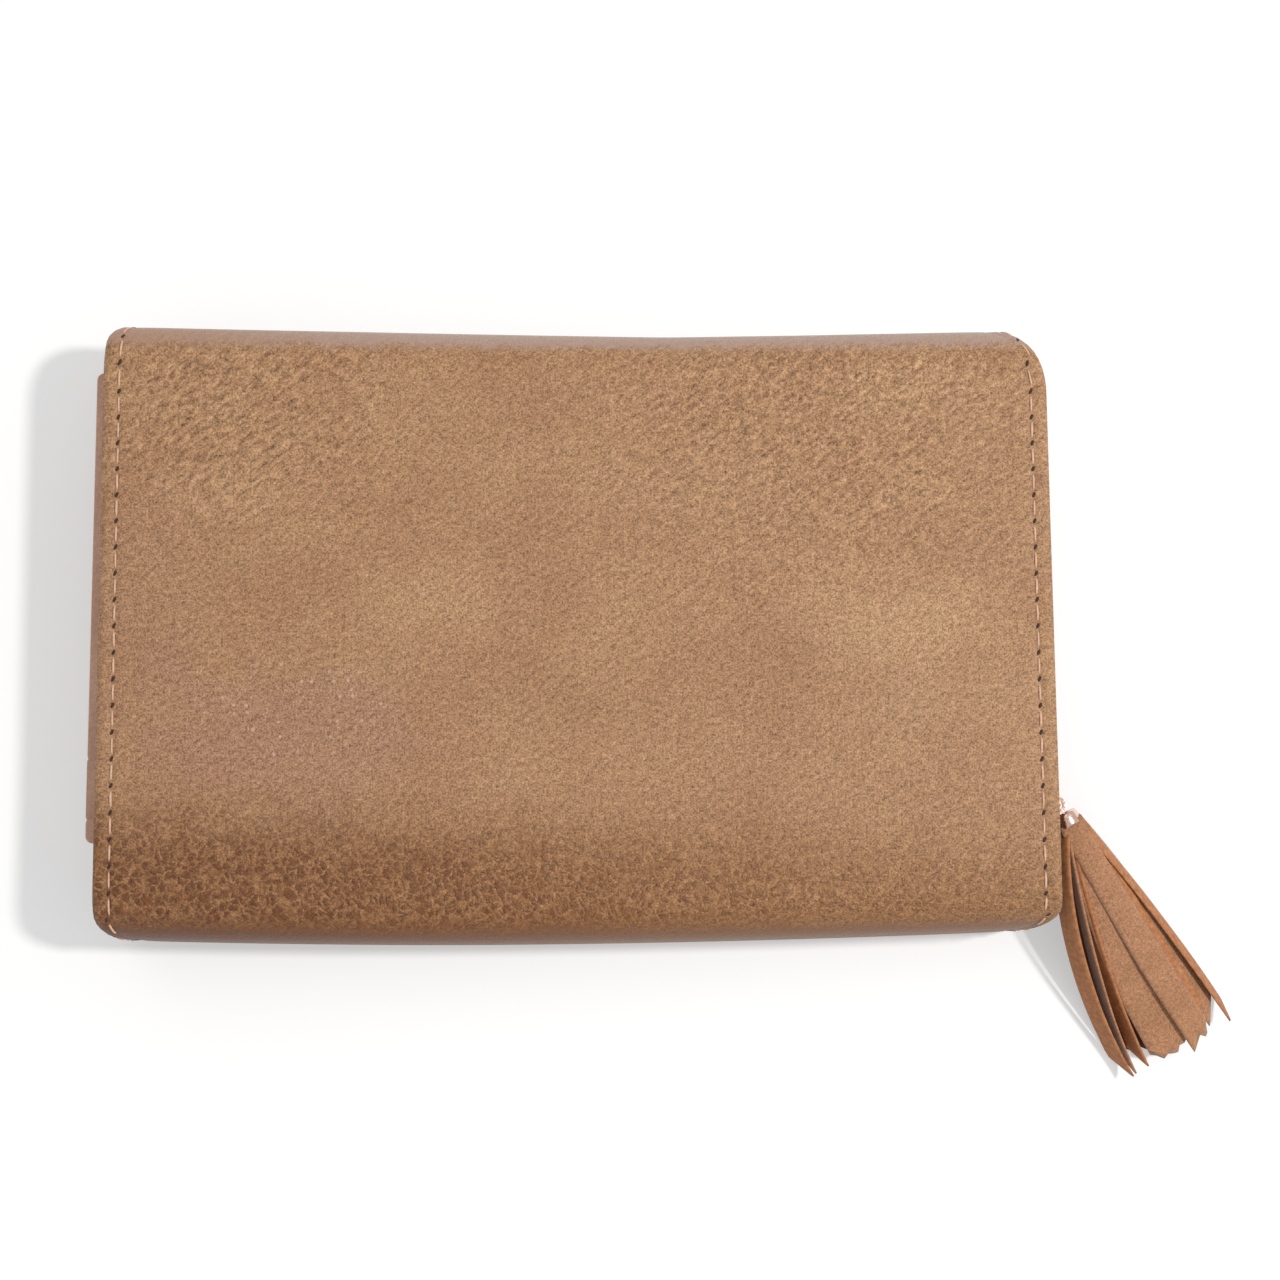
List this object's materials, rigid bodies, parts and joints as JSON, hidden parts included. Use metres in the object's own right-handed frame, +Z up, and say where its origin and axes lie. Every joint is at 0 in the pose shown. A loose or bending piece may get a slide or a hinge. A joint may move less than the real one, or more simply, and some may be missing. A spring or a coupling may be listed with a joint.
{
  "type": "wristlet wallet",
  "caption": "Envelope wristlet wallet in pebbled tan leather, closed and lying on its flap, with an inner zip pouch, card slots and a suede tassel on the zip pull.",
  "frame": {"origin": "middle of the flap's outer face, the face the closed wallet rests on", "axes": "+X along the wallet towards the zip pull and tassel, -Y towards the flap fold, +Z up from the flap to the back"},
  "size_m": [0.2332, 0.1501, 0.0283],
  "materials": {
    "cover_leather": "pebbled faux leather, satin, mottled tan",
    "pouch_leather": "smooth pinkish tan, satin",
    "lining_cloth": "fine woven lining, matt",
    "stiffener_board": "grey-brown pressed card, matt",
    "zip_tape": "twill tape, matt",
    "zip_coil": "nylon coil, satin",
    "rose_metal": "polished light rose-gold plating",
    "tassel_suede": "soft suede-like strips, matt"
  },
  "bodies": {
    "flap": {"flap_leather": "cover_leather", "flap_board": "stiffener_board", "flap_lining": "lining_cloth", "snap_stud": "rose_metal"},
    "flap_spine": {"flap_spine_leather": "cover_leather", "flap_spine_lining": "lining_cloth"},
    "back": {"back_leather": "cover_leather", "back_board": "stiffener_board", "back_lining": "lining_cloth", "bottom_spine_leather": "cover_leather", "bottom_spine_lining": "lining_cloth", "card_slot_left_1": "pouch_leather", "card_slot_left_2": "pouch_leather", "card_slot_left_3": "pouch_leather", "card_slot_right_1": "pouch_leather", "card_slot_right_2": "pouch_leather", "card_slot_right_3": "pouch_leather", "strap_tab": "cover_leather"},
    "pouch": {"pouch_lower_wall": "pouch_leather", "pouch_upper_wall_mouth": "pouch_leather", "pouch_upper_wall_main": "pouch_leather", "pouch_side_left": "pouch_leather", "pouch_side_right": "pouch_leather", "pouch_fold_mouth": "pouch_leather", "pouch_fold_bottom": "pouch_leather", "zip_tape_mouth": "zip_tape", "zip_tape_main": "zip_tape", "zip_coil_mouth": "zip_coil", "zip_coil_main": "zip_coil", "zip_stop_left": "rose_metal", "zip_stop_right": "rose_metal", "gusset_back_left": "pouch_leather", "gusset_back_right": "pouch_leather", "gusset_front_left": "pouch_leather", "gusset_front_right": "pouch_leather"},
    "front": {"front_leather": "cover_leather", "front_board": "stiffener_board", "front_lining": "lining_cloth", "snap_socket": "rose_metal"},
    "slider": {"zip_slider": "rose_metal", "slider_bail": "rose_metal"},
    "pull": {"pull_link": "rose_metal"},
    "ring": {"jump_ring": "rose_metal"},
    "tassel": {"tassel_eye": "rose_metal", "tassel_cap": "rose_metal", "tassel_strip_1": "tassel_suede", "tassel_strip_2": "tassel_suede", "tassel_strip_3": "tassel_suede", "tassel_strip_4": "tassel_suede", "tassel_strip_5": "tassel_suede", "tassel_strip_6": "tassel_suede", "tassel_strip_7": "tassel_suede", "tassel_strip_8": "tassel_suede"},
    "strap_ring": {"strap_d_ring": "rose_metal"}
  },
  "joints": [
    {"name": "flap_fold", "type": "hinge", "parent": "flap", "child": "flap_spine", "pos_m": [0, -0.05861, 0.00264], "axis": [1, 0, 0], "range_deg": [0, 90]},
    {"name": "spine_fold", "type": "hinge", "parent": "flap_spine", "child": "back", "pos_m": [0, -0.05861, 0.02566], "axis": [1, 0, 0], "range_deg": [0, 90]},
    {"name": "pouch_swing", "type": "hinge", "parent": "back", "child": "pouch", "pos_m": [0, 0.05861, 0.00814], "axis": [1, 0, 0], "range_deg": [0, 5], "deforming": ["gusset_back_left", "gusset_back_right"]},
    {"name": "front_swing", "type": "hinge", "parent": "pouch", "child": "front", "pos_m": [0, 0.05861, 0.00814], "axis": [1, 0, 0], "range_deg": [0, 5], "deforming": ["gusset_front_left", "gusset_front_right"]},
    {"name": "zip_slide", "type": "slide", "parent": "pouch", "child": "slider", "axis": [-1, 0, 0], "range_m": [0, 0.165], "deforming": ["tassel_strip_1", "tassel_strip_2", "tassel_strip_3", "tassel_strip_4", "tassel_strip_5", "tassel_strip_6", "tassel_strip_7", "tassel_strip_8"]},
    {"name": "pull_swing", "type": "hinge", "parent": "slider", "child": "pull", "pos_m": [0.0891, -0.031, 0.02], "axis": [0, 0, 1], "range_deg": [-10, 45]},
    {"name": "ring_turn", "type": "hinge", "parent": "pull", "child": "ring", "pos_m": [0.0953, -0.031, 0.02], "axis": [0, 0, 1], "range_deg": [0, 125]},
    {"name": "tassel_swing", "type": "hinge", "parent": "ring", "child": "tassel", "pos_m": [0.09627, -0.03275, 0.02], "axis": [-0.8746, -0.4848, 0], "range_deg": [0, 25]},
    {"name": "d_ring_swing", "type": "hinge", "parent": "back", "child": "strap_ring", "pos_m": [-0.084, -0.051, 0.0232], "axis": [1, 0, 0], "range_deg": [0, 80]}
  ],
  "couplings": [
    {"joint": "spine_fold", "follows": "flap_fold", "ratio": 1},
    {"joint": "pouch_swing", "follows": "flap_fold", "ratio": 0.05},
    {"joint": "front_swing", "follows": "flap_fold", "ratio": 0.05},
    {"joint": "ring_turn", "follows": "zip_slide", "rad_per_m": 12.693},
    {"joint": "tassel_swing", "follows": "flap_fold", "ratio": 0.2333}
  ]
}
